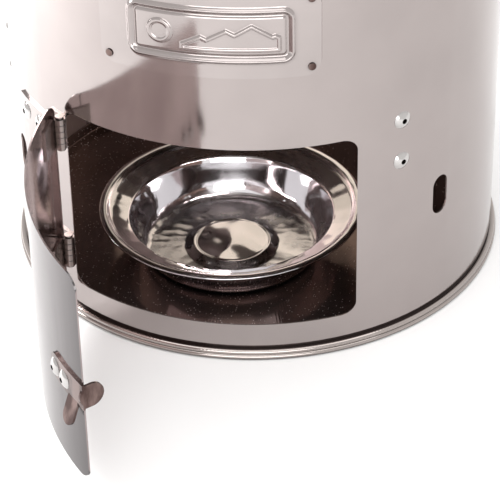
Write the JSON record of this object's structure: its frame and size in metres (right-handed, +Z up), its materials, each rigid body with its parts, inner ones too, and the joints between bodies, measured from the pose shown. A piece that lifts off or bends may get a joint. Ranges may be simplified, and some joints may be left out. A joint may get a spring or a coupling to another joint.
{
  "type": "camp smoker",
  "caption": "Cylindrical steel smoker with a hinged fire door, a chip dish on its floor, a drip tray, a wire rack and a lift-off lid with a thermometer.",
  "frame": {"origin": "on the ground, on the axis of the drum", "axes": "+Z up along the drum axis, -Y towards the middle of the door opening, +X to the right seen from the front"},
  "size_m": [0.272, 0.3917, 0.4149],
  "materials": {
    "polished_steel": "polished stainless steel sheet with faint rolling lines",
    "base_steel": "darker polished steel with a smoke-stained floor and a rolled seam",
    "badge_steel": "polished plate with raised relief",
    "bracket_steel": "plain mill-finish steel",
    "rivet_steel": "bright domed rivet",
    "hinge_steel": "satin steel hinge",
    "latch_steel": "polished spring steel",
    "dish_steel": "mirror-polished pressed steel",
    "tray_steel": "satin steel tray",
    "wire_steel": "bright plated wire",
    "grip_black": "matte heat-resistant moulding",
    "dial_white": "matt printed dial",
    "dial_glass": "clear flat glass",
    "needle_red": "satin painted needle"
  },
  "bodies": {
    "drum": {"body_shell": "polished_steel", "base_pan": "base_steel", "badge_plate": "badge_steel", "badge_pins": "rivet_steel", "tray_brackets": "bracket_steel", "tray_bracket_rivets": "rivet_steel", "rack_brackets": "bracket_steel", "rack_bracket_rivets": "rivet_steel", "stay_strip": "latch_steel", "stay_rivets": "rivet_steel", "hinge_body_leaves": "hinge_steel", "hinge_pins": "hinge_steel"},
    "door": {"door_panel": "polished_steel", "hinge_door_leaves": "hinge_steel", "latch_plate": "latch_steel", "latch_rivets": "rivet_steel"},
    "dish": {"chip_dish": "dish_steel"},
    "tray": {"drip_tray": "tray_steel"},
    "rack": {"rack_ring": "wire_steel", "rack_bars": "wire_steel", "rack_cross_bars": "wire_steel"},
    "lid": {"lid_shell": "polished_steel", "lid_handle_posts": "bracket_steel", "lid_handle_grip": "grip_black", "lid_handle_screws": "rivet_steel", "dial_case": "rivet_steel", "dial_face": "dial_white", "dial_glass": "dial_glass", "dial_stem": "bracket_steel", "dial_nut": "bracket_steel"},
    "needle": {"dial_needle": "needle_red"}
  },
  "joints": [
    {"name": "door_hinge", "type": "hinge", "parent": "drum", "child": "door", "pos_m": [-0.07646, -0.10919, 0.0777], "axis": [0, 0, 1], "range_deg": [-35, 69]},
    {"name": "dish_lift", "type": "slide", "parent": "drum", "child": "dish", "axis": [0, 0, 1], "range_m": [0, 0.06]},
    {"name": "tray_lift", "type": "slide", "parent": "drum", "child": "tray", "axis": [0, 0, 1], "range_m": [0, 0.04]},
    {"name": "rack_lift", "type": "slide", "parent": "drum", "child": "rack", "axis": [0, 0, 1], "range_m": [0, 0.035]},
    {"name": "lid_lift", "type": "slide", "parent": "drum", "child": "lid", "axis": [0, 0, 1], "range_m": [0, 0.08]},
    {"name": "needle_turn", "type": "hinge", "parent": "lid", "child": "needle", "pos_m": [0, -0.09, 0.3596], "axis": [0, -0.4049, 0.9143], "range_deg": [-120, 120]}
  ]
}
